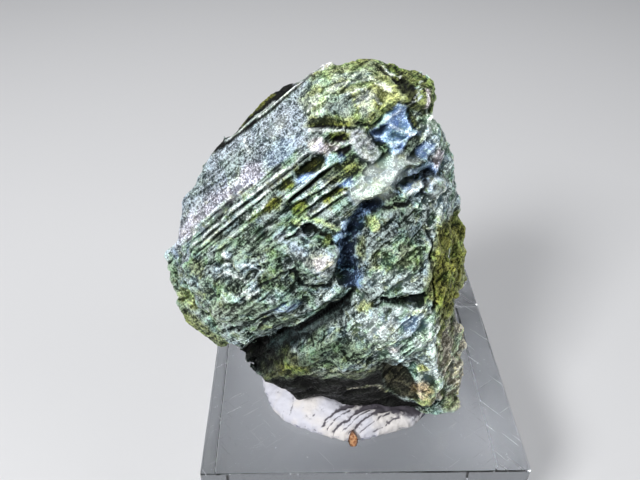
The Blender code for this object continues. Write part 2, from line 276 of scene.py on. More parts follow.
stone_mesh = fine_blank("stone", STONE_VOXEL)
places = read_places(stone_mesh)
normals = read_normals(stone_mesh)
layers = (places - FACE_MIDDLE) @ np.stack(GRAIN_AXES, axis=1)
skin = Skin(places, normals)

# The whole stone: drifts of leaf green, pale and moss green crystal, then the walls at its right, which are
# pale at the crown, olive below it and brown at the foot.
skin.lay(smooth_step(0.0, 0.5, field(places / 3.2, clouds(3))), LEAF, 0.7)
skin.lay(smooth_step(0.20, 0.6, field(places / 2.4 + 71.0, clouds(3))), PALE, 0.6)
skin.lay(smooth_step(0.30, 0.6, field(places / 2.6 + 23.0, clouds(3))), MOSS, 0.5)
patchy = field(places / 3.5 + 47.0, clouds(3))
right_side = smooth_step(0.25, 0.6, normals @ ACROSS) * smooth_step(2.0, 5.5, places[:, 0])
right_side *= 1.0 - smooth_step(-1.0, 1.5, places[:, 1] + 3.0 * patchy)
low_down = 1.0 - smooth_step(27.0, 30.5, places[:, 2] + 0.5 * skin.across - 5.0 + 5.0 * patchy)
crown = smooth_step(36.5, 39.5, places[:, 2] + 2.0 * patchy)
skin.lay(right_side * (1.0 - low_down) * (1.0 - crown), OLIVE, 0.85)
skin.lay(right_side * low_down, BROWN, 1.0)
skin.lay(right_side * crown, PALE, 0.7)

# The striated ledges, from the plane's edge down to the lobe: each lip painted white as a highlight, and the
# drops below the lips in the dark colours painted shade.
ledge_zone = skin.patch([
    (-13.0, 1.6), (-8.6, 5.4), (-3.8, 9.2), (-1.0, 11.9), (0.4, 11.2), (2.3, 8.2), (2.2, 5.6), (0.6, 4.2),
    (-3.0, 4.0), (-6.0, 2.2), (-11.0, 0.4),
], 0.5)
skin.lay(ledge_zone, GREEN, 0.5)
LEDGES = [
    ((-12.4, 1.7), (-8.7, 4.9), 0.25, 0.35, TEAL, 0.7), ((-11.8, 1.5), (-8.9, 4.1), 0.20, 0.3, DARK, 0.6),
    ((-10.9, 1.7), (-8.2, 4.0), 0.20, 0.3, TEAL, 0.5), ((-8.4, 4.7), (-3.6, 8.6), 0.30, 0.4, TEAL, 0.7),
    ((-7.8, 4.4), (-5.6, 6.2), 0.20, 0.3, DARK, 0.6), ((-6.0, 5.9), (-3.2, 8.2), 0.25, 0.3, LEAF, 0.7),
    ((-6.9, 4.2), (-4.4, 6.2), 0.30, 0.5, MOSS, 0.8), ((-4.9, 8.4), (-2.0, 10.8), 0.15, 0.3, GREY, 0.7),
    ((-5.2, 7.0), (-1.9, 9.9), 0.25, 0.4, DARK, 0.7), ((-3.4, 6.2), (-0.2, 9.0), 0.50, 0.5, DARK, 0.95),
    ((-2.7, 5.8), (0.5, 8.2), 0.35, 0.3, DARK, 0.8), ((-2.0, 5.5), (0.9, 7.6), 0.35, 0.4, DARK, 0.8),
    ((-1.6, 4.9), (1.3, 6.9), 0.25, 0.4, TEAL, 0.7), ((-9.2, 1.8), (-6.9, 3.6), 0.15, 0.3, TEAL, 0.4),
    ((-6.4, 2.6), (-4.6, 3.9), 0.15, 0.3, TEAL, 0.4),
]
for start, end, drop, run, colours, strength in LEDGES:
    skin.ledge(start, end, drop, run, colours, strength)
BARS = [((-3.5, 6.4), (-0.3, 9.2), 0.28), ((-3.0, 5.8), (0.2, 8.4), 0.18), ((-2.3, 5.3), (0.6, 7.6), 0.18)]
for start, end, width in BARS:
    skin.lay(skin.stroke([start, end], width, 0.1), PALE, 0.8, 0.05)
MOSSY = [
    (-1.6, 8.9, 1.3, 0.50, 25.0, -0.4), (-3.5, 7.3, 0.7, 0.45, 40.0, -0.1),
    (-4.8, 5.6, 1.1, 0.50, 40.0, -0.2), (-2.4, 5.5, 0.9, 0.50, 38.0, -0.1),
    (0.8, 7.0, 0.9, 0.35, 30.0, -0.1), (-0.2, 6.3, 0.6, 0.30, 38.0, 0.0),
]
for across, up, wide, high, turn, height in MOSSY:
    skin.lay(skin.oval(across, up, wide, high, turn), MOSS, 0.95, height)
    skin.lay(skin.oval(across, up + 0.1, 0.6 * wide, 0.5 * high, turn), OLIVE, 0.6)
for across, up in ((-1.9, 8.1), (1.4, 7.8)):
    skin.lay(skin.oval(across, up, 0.9, 0.32, 10.0), BLUE, 0.9, 0.05)
for across, up in ((-2.7, 4.4), (-1.9, 4.6), (-1.1, 4.6), (-0.4, 4.3), (0.3, 4.0)):
    skin.lay(skin.oval(across, up, 0.45, 0.25, -20.0), YELLOW, 0.9, 0.2)
skin.lay(skin.oval(-7.2, 1.9, 3.4, 1.2, 25.0), LEAF, 0.5)

# The smooth crystal plane at the upper left, its pale lavender partly its own colour and partly a painted
# sheen, and the sliver of a plate behind its rim, painted dark as shade where it faces away from the light.
RIM = [
    (-10.4, 9.4), (-8.9, 10.2), (-7.5, 11.3), (-6.6, 11.8), (-5.7, 12.6), (-4.5, 13.5), (-3.6, 14.3),
    (-1.7, 15.9),
]
PLANE_FOOT = [(-14.0, 0.8), (-12.7, 1.5), (-11.5, 2.8), (-8.6, 5.4), (-6.2, 7.4), (-3.8, 9.3), (-1.9, 10.9)]
plane_outline = PLANE_FOOT + [(-1.7, 12.6), (-2.6, 14.0)] + RIM[::-1] + [(-11.5, 8.8), (-14.5, 5.0)]
plane = skin.patch(plane_outline, 0.12, 0.3)
# The plane's pale lavender and white: partly its own colour, partly a painted sheen.
skin.lay(plane, LAVENDER, 1.0, 0.0, 1.0)
skin.lay(plane * skin.stroke(PLANE_FOOT[:5], 2.2), LILAC, 0.9, 0.0, 1.0)
skin.lay(plane * skin.oval(-4.0, 10.0, 2.2, 0.8, 40.0), BLUE, 0.22, 0.0, 1.0)
skin.lay(plane * skin.oval(-4.4, 12.0, 1.5, 0.6, 45.0), WHITE, 0.35, 0.0, 1.0)
skin.lay(plane * skin.oval(-7.6, 9.3, 2.0, 0.9, 30.0), GREEN, 0.55, 0.0, 1.0)
skin.lay(plane * skin.oval(-6.4, 8.2, 1.5, 0.6, 40.0), LILAC, 0.4, 0.0, 1.0)
skin.lay(plane * skin.stroke([(-13.4, 3.2), (-12.2, 5.6), (-10.6, 8.0)], 0.7), GREEN, 0.35, 0.0, 1.0)
# The sliver, painted dark as shade.
sliver = skin.patch(RIM + [(-0.8, 16.6), (0.3, 18.0), (-3.0, 19.0), (-8.0, 17.0), (-12.0, 13.0)], 0.10, 0.2)
skin.lay(sliver, DARK, 1.0, -0.15, 0.5)
skin.lay(skin.stroke([(-7.8, 12.2), (-6.6, 13.4), (-5.0, 14.6)], 0.4), OLIVE, 0.5, 0.0, 0.4)
skin.lay(skin.stroke([(-6.0, 12.7), (-4.5, 13.9), (-3.3, 14.9), (-2.2, 15.8)], 0.11, 0.1),
         WHITE, 1.0, 0.10, 0.9)
skin.lay(skin.stroke([(-8.8, 10.7), (-6.5, 12.45), (-5.4, 13.4), (-4.6, 14.1)], 0.10, 0.1),
         WHITE, 0.7, 0.06, 0.9)
# Along the plane's foot: dark lines painted as shade in its steps, white lines as painted highlights on their
# edges.
skin.lay(skin.stroke([(-11.7, 2.75), (-9.2, 5.0), (-6.4, 7.3)], 0.14, 0.1), DARK, 0.85, -0.12)
skin.lay(skin.stroke([(-11.4, 3.2), (-9.0, 5.4), (-7.2, 6.9)], 0.10, 0.1), DARK, 0.7, -0.05)
skin.lay(skin.stroke([(-12.6, 1.9), (-9.8, 4.6), (-6.8, 7.2)], 0.12, 0.1), WHITE, 0.7, 0.08, 0.5)
skin.lay(skin.stroke([(-12.2, 2.6), (-9.6, 5.0), (-8.0, 6.4)], 0.10, 0.1), WHITE, 0.6, 0.05, 0.5)
skin.lay(skin.stroke([(-12.2, 5.5), (-10.1, 6.9), (-8.3, 8.0)], 0.13, 0.2), TEAL, 0.85, -0.1)
skin.lay(skin.stroke([(-7.1, 11.0), (-6.9, 10.4), (-6.8, 9.8)], 0.12, 0.5), WHITE, 0.7)

# The domed crust at the top: grey green in its middle, yellow around, golden at its right, with a painted
# highlight along its upper left edge, an olive brow, and at its foot a slot painted dark as the brow's
# shadow, with a white lip.
dome_outline = [
    (-2.4, 14.1), (-1.6, 15.7), (-0.5, 16.6), (1.5, 17.0), (4.2, 16.7), (5.3, 14.9), (5.4, 12.9), (3.6, 11.7),
    (0.8, 12.3), (-1.5, 12.6),
]
dome = skin.patch(dome_outline, 0.5)
behind_dome = skin.patch([
    (-2.2, 15.6), (-0.5, 16.4), (2.0, 16.8), (4.4, 16.5), (9.0, 17.0), (6.0, 20.0), (-2.0, 19.0),
])
skin.lay(behind_dome, OLIVE, 0.6)
skin.lay(dome, YELLOW, 0.95, 0.0, 0.35)
# A painted highlight along the dome's upper left edge.
skin.lay(skin.stroke([(-2.6, 15.5), (-1.4, 16.7), (0.4, 17.3)], 0.4), LILAC, 0.8)
FLECKS = [(-1.4, 14.2), (-0.8, 15.5), (0.7, 16.0), (2.3, 16.2), (3.6, 15.9), (-0.9, 13.2), (3.0, 14.6)]
for across, up in FLECKS:
    skin.lay(skin.oval(across, up, 0.9, 0.35, 15.0), PALE, 0.45, 0.06)
skin.lay(skin.oval(0.6, 13.8, 1.5, 1.2, 8.0), GREEN, 0.8, -0.1, 0.6)
skin.lay(skin.oval(2.5, 13.7, 0.9, 1.0, 0.0), GREY, 0.6, 0.0, 0.5)
skin.lay(skin.stroke([(1.6, 14.8), (1.9, 13.8), (1.7, 12.8)], 0.12), GOLD, 0.6, 0.05)
skin.lay(skin.oval(4.2, 14.5, 1.3, 2.0, 10.0), GOLD, 0.65, 0.0, 0.6)
skin.lay(skin.oval(3.3, 12.8, 1.0, 1.4, 0.0), GOLD, 0.4)
skin.lay(skin.stroke([(-1.2, 14.6), (0.8, 15.4), (3.1, 15.8), (4.6, 14.8)], 0.22), WHITE, 0.5, 0.12)
skin.lay(skin.stroke([(-1.9, 13.4), (0.0, 14.6), (2.6, 15.0), (3.8, 13.9)], 0.16), WHITE, 0.5, 0.1)
brow = skin.patch([(-2.3, 12.0), (-1.8, 12.8), (1.4, 12.9), (1.7, 12.2), (-0.8, 12.0)], 0.15, 0.6)
skin.lay(brow, OLIVE, 0.45, 0.2, 0.3)
skin.lay(skin.patch([(-1.9, 12.0), (-1.6, 12.4), (1.3, 12.45), (1.5, 12.05)], 0.10, 0.4), MOSS, 0.9, 0.1, 0.5)
# The slot under the brow and a dark line beside it, painted dark as the brow's shadow.
skin.lay(skin.stroke([(-1.2, 12.1), (1.4, 12.1)], 0.14, 0.4), DARK, 1.0, -0.1, 0.6)
skin.lay(skin.stroke([(1.9, 12.4), (3.2, 12.2)], 0.14, 0.4), DARK, 0.9, -0.2)
skin.lay(skin.stroke([(-1.7, 11.85), (0.8, 11.8)], 0.16, 0.4), WHITE, 1.0, 0.15, 0.8)

# Below it: dark green around two holes, which are painted dark as shade, a rose block, a grey scored block,
# and the powder blue patch with its ridges painted white as highlights and its hollows painted navy as shade.
skin.lay(skin.oval(2.4, 9.8, 2.4, 2.4, 0.0), LEAF, 0.7, -0.1)
skin.lay(skin.oval(0.9, 8.5, 1.8, 0.8, 20.0), MOSS, 0.7, -0.15)
rose_block = skin.patch([(-1.9, 10.6), (-1.0, 11.3), (0.0, 10.6), (-0.2, 9.8), (-1.4, 10.0)])
skin.lay(rose_block, ROSE, 0.95, 0.25, 0.5)
scored_block = skin.patch([
    (1.0, 11.8), (2.2, 12.0), (3.6, 11.0), (4.0, 9.8), (3.4, 9.2), (2.4, 9.6), (1.6, 10.6),
], 0.15, 0.7)
skin.lay(scored_block, GREY, 1.0, 0.35, 0.9)
for step in range(5):
    across = 1.4 + 0.45 * step
    score = skin.stroke([(across, 11.3 - 0.35 * step), (across + 0.9, 11.9 - 0.5 * step)], 0.10)
    skin.lay(score, TEAL, 0.6, -0.08, 0.6)
skin.lay(skin.patch([(-0.3, 11.6), (1.4, 11.8), (1.3, 10.9), (0.1, 10.7)], 0.15), MOSS, 0.9, -0.1)
# The two holes, painted dark as shade.
skin.lay(skin.patch([(0.1, 11.2), (1.1, 11.5), (1.0, 10.9), (0.5, 10.8)], 0.10, 0.5), DARK, 1.0, -0.35, 0.6)
skin.lay(skin.stroke([(0.1, 10.55), (1.3, 10.9)], 0.22), ROSE, 0.9, 0.2)
skin.lay(skin.patch([(0.3, 10.2), (1.6, 10.7), (1.5, 10.1), (0.8, 9.7)], 0.10, 0.5), DARK, 1.0, -0.35, 0.6)
skin.lay(skin.oval(0.3, 9.6, 0.8, 0.4, 0.0), BLUE, 0.5)
skin.lay(skin.patch([
    (3.0, 11.7), (3.7, 12.3), (4.3, 13.0), (4.9, 13.4), (5.2, 13.9), (5.9, 13.6), (6.1, 12.9), (6.4, 12.3),
    (7.3, 11.5), (6.2, 11.1), (5.9, 10.1), (5.0, 9.8), (4.3, 11.0), (3.6, 11.3),
], 0.15, 0.7), BLUE, 1.0, 0.4, 0.5)
# Ridges painted white as highlights on the blue patch, and its hollows painted navy as shade.
BLUE_RIDGE_HIGHLIGHTS = [
    [(3.7, 12.0), (4.5, 12.7), (5.4, 13.3)], [(4.8, 12.2), (5.7, 11.8), (6.8, 11.5)],
    [(4.6, 10.9), (5.6, 11.1)],
]
for stops in BLUE_RIDGE_HIGHLIGHTS:
    skin.lay(skin.stroke(stops, 0.22, 0.6), WHITE, 0.45, 0.15, 0.5)
for stops in ([(5.0, 11.55), (5.9, 11.45)], [(4.6, 10.4), (5.7, 10.6)]):
    skin.lay(skin.stroke(stops, 0.18, 0.6), NAVY, 0.7, -0.15, 0.4)
skin.lay(skin.oval(3.9, 11.75, 0.75, 0.24, 10.0), NAVY, 0.95, -0.3, 0.4)
skin.lay(skin.patch([(6.1, 13.4), (6.9, 12.9), (7.1, 12.0), (6.5, 12.2)], 0.15), MOSS, 0.85, -0.05)
skin.lay(skin.oval(5.4, 9.4, 1.2, 0.7, 10.0), YELLOW, 0.35, 0.15)

# The top right: a mossy corner with slots painted dark as shade, grey and white bars and a pale streak down
# its side.
corner = skin.patch([
    (4.4, 17.2), (5.4, 14.8), (5.5, 13.6), (7.0, 13.4), (8.6, 13.0), (9.0, 16.5), (6.5, 18.0),
])
skin.lay(corner, MOSS, 0.85)
# A slot painted dark as shade.
skin.lay(skin.oval(5.9, 15.2, 0.7, 1.3, 20.0), DARK, 0.85, -0.25)
for across, up in ((6.4, 14.2), (6.7, 14.9), (7.0, 15.6)):
    skin.lay(skin.stroke([(across - 0.4, up - 0.5), (across + 0.6, up + 0.3)], 0.10), GREY, 0.8, 0.1)
# Two more slots painted dark as shade, either side of a white bar.
skin.lay(skin.stroke([(4.0, 16.7), (5.3, 15.8)], 0.26, 0.4), DARK, 0.9, -0.2)
skin.lay(skin.stroke([(4.3, 16.9), (5.6, 16.2)], 0.13, 0.4), WHITE, 0.9, 0.15)
skin.lay(skin.stroke([(4.4, 17.25), (5.9, 16.6)], 0.12, 0.4), DARK, 0.9, -0.1)
skin.lay(skin.stroke([(7.7, 14.9), (7.5, 14.0), (7.9, 13.2)], 0.3), ROSE, 0.9, 0.15)
skin.lay(skin.stroke([(8.0, 12.6), (8.9, 11.2), (9.9, 9.6)], 0.7), PALE, 0.7, 0.1)

# The pale slab across the right, the navy hollow below it, the blocks that stand in the hollow and a painted
# shadow under the slab's lower edge.
navy_hollow = skin.patch([
    (4.8, 7.3), (6.3, 8.6), (8.0, 9.3), (9.9, 8.8), (9.6, 7.4), (8.4, 6.6), (5.6, 6.4),
], 0.2)
skin.lay(navy_hollow, NAVY, 0.6, 0.5)
slab = skin.patch([
    (2.6, 8.4), (3.7, 9.2), (5.0, 9.9), (7.1, 9.5), (7.4, 8.6), (6.4, 8.0), (5.3, 7.5), (4.8, 6.7),
    (3.5, 6.0), (2.1, 5.9), (1.5, 6.7), (1.9, 7.6),
], 0.45, 0.7)
skin.lay(slab, MILKY, 0.95, 0.25, 0.95)
skin.lay(skin.stroke([(1.7, 6.6), (2.6, 7.9), (4.2, 9.0)], 0.4), GREEN, 0.2, 0.0, 0.5)
skin.lay(skin.stroke([(2.6, 6.4), (3.8, 6.8), (4.8, 7.3)], 0.5), GOLD, 0.3, 0.0, 0.9)
skin.lay(skin.stroke([(6.6, 8.5), (8.0, 9.0), (9.0, 8.7)], 0.36), BLUE, 0.95, 0.2, 0.5)
skin.lay(skin.stroke([(6.2, 7.9), (7.4, 8.35), (8.6, 8.4), (9.6, 8.0)], 0.24), DARK, 0.75, 0.0, 0.5)
skin.lay(skin.patch([(5.5, 7.1), (6.6, 7.8), (7.6, 7.7), (7.3, 6.8), (6.1, 6.5)], 0.12), WHITE, 0.8, 0.5, 0.5)
skin.lay(skin.oval(6.2, 7.35, 0.6, 0.22, 35.0), BLUE, 0.8, 0.0, 0.5)
skin.lay(skin.oval(8.8, 7.2, 1.15, 1.0, -20.0), WHITE, 0.8, 0.4)
skin.lay(skin.oval(8.8, 7.2, 0.85, 0.72, -20.0), GREEN, 0.9, 0.2, 0.3)
skin.lay(skin.oval(8.6, 7.3, 0.45, 0.35, -20.0), TEAL, 0.5, 0.0, 0.3)
skin.lay(skin.stroke([(7.8, 8.2), (7.75, 7.4), (7.5, 6.6)], 0.2), DARK, 0.8, -0.2)
# A painted shadow under the slab's lower edge.
skin.lay(skin.stroke([(3.6, 5.4), (5.2, 5.9), (7.2, 6.3)], 0.28), DARK, 0.9, -0.3)
skin.lay(skin.patch([(6.4, 6.2), (7.2, 6.5), (8.4, 6.0), (8.6, 5.4), (7.6, 5.4)], 0.2), PALE, 0.8, 0.3, 0.4)
EDGE_LUMPS = [(8.5, 12.4, WHITE), (9.2, 11.0, PALE), (9.2, 9.5, ROSE), (8.0, 11.4, PALE), (7.9, 10.2, BLUE)]
for across, up, colours in EDGE_LUMPS:
    skin.lay(skin.oval(across, up, 0.9, 0.7, 60.0), colours, 0.8, 0.15, 0.3)

# The navy groove down the middle. At its left are a lavender swelling with curved lines and the rosy knob,
# with a sunken moat around their lower side, painted dark as the knob's shadow.
groove = skin.stroke([(3.4, 5.8), (2.2, 4.6), (1.4, 3.4), (1.1, 1.8), (1.6, 0.4), (1.9, -0.8)], 1.0)
skin.lay(groove, NAVY, 0.95, -0.2)
skin.lay(skin.oval(1.4, 4.2, 0.7, 0.45, 30.0), BLUE, 0.8, 0.25, 0.3)
skin.lay(skin.oval(0.9, 3.2, 0.8, 0.3, 0.0), BLUE, 0.8, 0.2, 0.3)
skin.lay(skin.oval(0.7, 2.0, 0.5, 0.3, 0.0), BLUE, 0.5, 0.1)
skin.lay(skin.oval(3.4, 4.5, 0.55, 0.75, 0.0), GOLD, 0.7, 0.2)
skin.lay(skin.oval(-3.1, 2.9, 1.6, 1.2, 0.0), LAVENDER, 0.7, 0.35, 0.4)
ARC_MIDDLE = (-2.9, 2.6)
ARC_TURNS = (2.8, 2.2, 1.6, 1.0, 0.4)
for reach in (0.5, 0.95, 1.4):
    arc = [(ARC_MIDDLE[0] + reach * math.cos(t), ARC_MIDDLE[1] + reach * math.sin(t)) for t in ARC_TURNS]
    skin.lay(skin.stroke(arc, 0.12, 0.8), TEAL, 0.5, -0.10)
skin.lay(skin.oval(-1.2, 1.3, 2.0, 1.4, 10.0), GREY, 0.4, 0.3)
skin.lay(skin.oval(-0.7, 1.4, 0.9, 0.7, 0.0), ROSE, 0.55, 0.15, 0.3)
skin.lay(skin.stroke([(-0.9, 0.9), (-0.3, 1.1), (-0.2, 1.7)], 0.12), BROWN, 0.8, -0.1)
# The moat's dark is a painted shadow of the knob.
knob_shadow_moat = skin.stroke([(-3.0, 0.5), (-2.3, -0.8), (-1.2, -1.2), (0.0, -1.0), (0.8, 0.2), (0.5, 2.0)], 0.32)
skin.lay(knob_shadow_moat, TEAL, 0.9, -0.35)
skin.lay(skin.stroke([(-3.5, 3.3), (-2.2, 3.9), (-0.9, 3.8), (0.3, 2.9)], 0.22), DARK, 0.7, -0.3)
skin.lay(skin.stroke([(-3.4, 3.7), (-2.0, 4.3), (-0.7, 4.2)], 0.2), PALE, 0.7, 0.15)
skin.lay(skin.oval(-0.2, 3.05, 0.4, 0.25, 0.0), GOLD, 0.7)

# The granular lobe at the left, with dark seams along the grain, white threads and paler facets, and its
# lower left moss green and painted darker as shade where it turns down.
SEAMS = [
    ((-8.1, -4.3), (-4.7, -1.2), 0.16), ((-8.0, -6.2), (-3.7, -2.3), 0.30),
    ((-6.6, -6.3), (-2.4, -2.2), 0.22), ((-10.1, 1.2), (-8.0, 2.4), 0.14),
    ((-11.6, -1.0), (-8.8, 1.1), 0.14), ((-9.0, -6.6), (-6.8, -4.8), 0.20),
    ((-8.6, -3.8), (-6.0, -1.7), 0.12), ((-7.4, -4.4), (-4.4, -2.0), 0.14),
    ((-8.9, -5.0), (-7.0, -3.4), 0.14), ((-5.9, -0.9), (-3.4, 0.4), 0.20),
    ((-6.4, 1.3), (-3.9, 2.7), 0.14),
]
for start, end, width in SEAMS:
    skin.lay(skin.stroke([start, end], width, 0.5), TEAL, 0.8, -0.7 * width)
skin.lay(skin.oval(-9.6, -2.0, 3.6, 3.4, 0.0), LAVENDER, 0.15)
skin.lay(skin.oval(-8.4, -1.8, 2.2, 1.2, 40.0), LEAF, 0.5)
skin.lay(skin.oval(-9.4, -4.2, 2.4, 1.5, 60.0), BROWN, 0.10)
skin.lay(skin.oval(-6.6, -3.3, 1.9, 1.1, 42.0), LEAF, 0.6)
WHITE_THREADS = [
    [(-9.7, 0.0), (-8.7, 0.6), (-6.6, 0.8), (-5.6, 0.5)], [(-9.4, -0.4), (-8.3, 0.1), (-6.9, -0.8)],
    [(-7.6, -1.9), (-6.1, -0.8)], [(-7.2, -2.2), (-5.9, -1.2)],
]
for stops in WHITE_THREADS:
    skin.lay(skin.stroke(stops, 0.13, 0.6), WHITE, 0.6, 0.08, 0.3)
skin.lay(skin.oval(-8.7, 1.4, 0.5, 0.4, 0.0), WHITE, 0.6, 0.1)
skin.lay(skin.oval(-8.3, -2.2, 1.1, 0.5, -25.0), PALE, 0.6, 0.2)
skin.lay(skin.oval(-13.1, -4.3, 1.1, 1.1, -30.0), GOLD, 0.45)
skin.lay(skin.oval(-13.6, 0.6, 1.6, 1.2, 40.0), LAVENDER, 0.7)
skin.lay(skin.oval(-3.4, -2.9, 1.2, 0.6, 20.0), BLUE, 0.3)
# The lobe's lower left: moss green, and painted darker as shade where it turns down.
skin.lay(skin.oval(-11.4, -7.9, 3.6, 1.4, -38.0), MOSS, 0.7)
skin.lay(skin.oval(-9.4, -9.9, 2.4, 0.8, -15.0), DARK, 0.5)

# The crevice under the lobe, teal and painted dark as the shade under its upper lip, with a flat facet in it,
# a painted shadow line along the lip, the peaty mass at its lower end and painted shade beside it.
crevice = skin.patch([
    (-9.0, -10.4), (-7.0, -9.3), (-5.2, -7.9), (-3.8, -6.6), (-2.3, -5.4), (-0.7, -4.1), (0.8, -2.9),
    (2.2, -1.4), (1.9, -3.1), (0.2, -4.8), (-1.6, -6.4), (-3.4, -8.4), (-4.6, -10.2), (-6.3, -12.2),
    (-8.6, -13.4),
], 0.15, 0.5)
# The crevice and its left end: teal crystal, painted dark as the shade under the lip.
skin.lay(crevice, TEAL, 1.0, -0.6, 0.9)
skin.lay(skin.oval(-7.0, -10.2, 2.2, 1.1, 45.0), DARK, 0.95)
crevice_facet = skin.patch([(-2.7, -6.5), (-0.6, -4.7), (1.4, -3.2), (0.6, -4.3), (-1.4, -6.2)], 0.12, 0.3)
skin.lay(crevice_facet, GREEN, 0.10, 0.30, 0.6)
# The shadow line that the lip casts, painted dark.
skin.lay(skin.stroke([(-4.6, -7.6), (-2.6, -6.2), (-0.4, -4.4), (1.8, -2.4)], 0.12, 0.2), DARK, 0.9, -0.2)
skin.lay(skin.oval(2.9, -2.6, 0.8, 0.35, 45.0), GOLD, 0.7, 0.1)
peaty_mass = skin.patch([
    (-5.6, -10.6), (-3.8, -8.4), (-1.8, -8.0), (-1.4, -9.6), (-3.4, -10.8), (-5.4, -12.4),
], 0.4)
skin.lay(peaty_mass, PEAT, 0.9)
shade_beside = skin.patch([
    (-8.6, -11.6), (-6.6, -9.6), (-4.4, -9.4), (-3.6, -10.6), (-4.6, -12.6), (-8.0, -14.6),
], 0.5)
skin.lay(shade_beside, DARK, 0.7, 0.0, 0.3)
skin.lay(skin.oval(-3.0, -10.4, 1.6, 1.1, 20.0), OLIVE, 0.55)
skin.lay(skin.oval(-2.9, -10.5, 0.7, 0.5, 20.0), GOLD, 0.25)

# The granular right: yellow green above, the pit painted dark as shade, the pale lower mass down to the foot,
# and the olive wall past its dark edge, with a painted glint.
skin.lay(skin.oval(5.4, 1.6, 2.6, 1.4, 10.0), YELLOW, 0.45)
skin.lay(skin.oval(5.4, -0.4, 2.4, 1.0, 0.0), PALE, 0.45)
skin.lay(skin.oval(6.6, 4.4, 2.4, 1.6, 0.0), GREEN, 0.6)
# The pit, painted dark as shade.
skin.lay(skin.stroke([(4.6, -2.0), (6.0, -2.4), (7.3, -2.4), (8.2, -2.0)], 0.4), TEAL, 0.9, -0.6)
skin.lay(skin.oval(5.6, -5.3, 4.4, 2.6, 0.0), PALE, 0.5)
skin.lay(skin.oval(8.8, -9.0, 1.6, 3.2, 10.0), PALE, 0.55)
skin.lay(skin.oval(4.2, -4.4, 1.6, 0.9, 20.0), WHITE, 0.35)
skin.lay(skin.stroke([(8.6, -3.0), (9.0, -5.4), (9.7, -8.8), (11.2, -12.4)], 0.7), PALE, 0.8, 0.25)
skin.lay(skin.oval(7.2, -4.4, 1.5, 1.2, 0.0), BLUE, 0.25)
skin.lay(skin.oval(0.8, -7.4, 3.6, 1.4, 25.0), LEAF, 0.8)
skin.lay(skin.oval(-0.4, -7.6, 2.8, 0.9, 30.0), TEAL, 0.5)
skin.lay(skin.stroke([(8.5, 3.6), (8.7, 1.9), (8.8, 0.2), (9.2, -1.6), (9.2, -3.4)], 0.25), DARK, 0.7, -0.3)
skin.lay(skin.patch([(9.0, 4.0), (9.2, -3.0), (12.0, -5.0), (15.5, -1.0), (12.6, 4.0)], 0.3), OLIVE, 0.9)
skin.lay(skin.stroke([(12.1, 1.9), (13.6, -0.1), (13.9, -4.6)], 0.7), GOLD, 0.55)
# A painted glint on the wall.
skin.lay(skin.stroke([(11.1, 1.0), (11.4, -0.2)], 0.2), WHITE, 0.9)

# The underside: painted dark as shade from the lower ledge down, with an alcove painted dark as shade, an
# amber rim and the yellowish foot.
underside = skin.patch([
    (-7.4, -13.4), (-5.4, -12.8), (-3.6, -11.8), (-2.2, -11.1), (-0.6, -11.1), (1.2, -10.9), (3.1, -10.7),
    (4.6, -9.6), (5.4, -8.6), (5.7, -11.0), (5.9, -12.6), (7.6, -14.2), (10.4, -15.4), (9.0, -18.0),
    (0.0, -19.0), (-8.0, -17.0),
], 0.6, 1.0)
# A band along the lower ledge and the underside below it, painted dark as shade.
lower_edge = skin.stroke([(-5.4, -12.4), (-2.2, -10.7), (1.2, -10.5), (3.8, -10.0), (4.9, -8.9)], 1.3)
skin.lay(lower_edge, PEAT, 0.75)
skin.lay(underside, DARK, 1.0, -0.3, 0.9)
# The alcove, painted dark as shade.
alcove = skin.patch([
    (5.0, -8.7), (6.5, -9.3), (7.6, -10.4), (8.5, -11.8), (8.8, -13.8), (7.1, -13.8), (5.7, -12.4),
], 0.15, 0.5)
skin.lay(alcove, SMOKE, 1.0, -0.4, 0.8)
for across, up in ((5.6, -7.0), (6.4, -8.0), (7.4, -9.2), (8.3, -10.4)):
    skin.lay(skin.oval(across, up, 0.6, 0.4, -50.0), PALE, 0.7, 0.2)
skin.lay(skin.oval(5.5, -6.8, 0.5, 0.4, 0.0), ROSE, 0.6, 0.1)
skin.lay(skin.oval(8.9, -10.2, 0.55, 0.5, 0.0), GOLD, 0.8, 0.1)
skin.lay(skin.oval(9.7, -13.8, 1.2, 1.0, 0.0), OLIVE, 0.7, 0.4, 0.3)
skin.lay(skin.oval(9.2, -12.4, 1.1, 0.9, -10.0), AMBER, 0.6, 0.2)
skin.lay(skin.stroke([(8.7, -14.2), (9.6, -14.8), (10.6, -14.4), (10.8, -13.4)], 0.2), WHITE, 0.6, 0.1, 0.3)
skin.lay(skin.stroke([(1.9, -12.7), (3.8, -12.4), (4.8, -12.1), (6.1, -13.5)], 0.12), BROWN, 0.8, 0.05)
skin.lay(skin.oval(13.0, -15.6, 1.4, 1.2, -30.0), YELLOW, 0.6)
# Faces turned downwards, painted dark as shade.
facing_down_shade = smooth_step(0.45, 0.9, -normals[:, 2])
skin.lay(facing_down_shade, DARK, 0.95, 0.0, 0.6)

# The breakage everywhere: soft lumps, splinters and shards along the grain, grit, knobs and cracks. A form
# along the grain has its size in three directions: along it, across it and outwards.
SPLINTER_SIZE, SPLINTER_HEIGHT = (3.4, 1.1, 1.8), 0.55
SHARD_SIZE, SHARD_HEIGHT = (1.4, 0.6, 0.8), 0.17
STRIATION_SIZE, STRIATION_HEIGHT = (7.0, 0.42, 3.0), 0.14
GRIT_SIZE, GRIT_HEIGHT = 0.6, 0.10
LUMP_SIZE, LUMP_HEIGHT = 3.0, 0.24
KNOB_SIZE, KNOB_HEIGHT = 1.3, 0.30
CRACK_PITCH, CRACK_WIDTH, CRACK_DEPTH = 2.3, 0.12, 0.09
PITTING_SIZE, PITTING_HEIGHT = 0.3, 0.05
GRAIN_LEVEL = 0.08

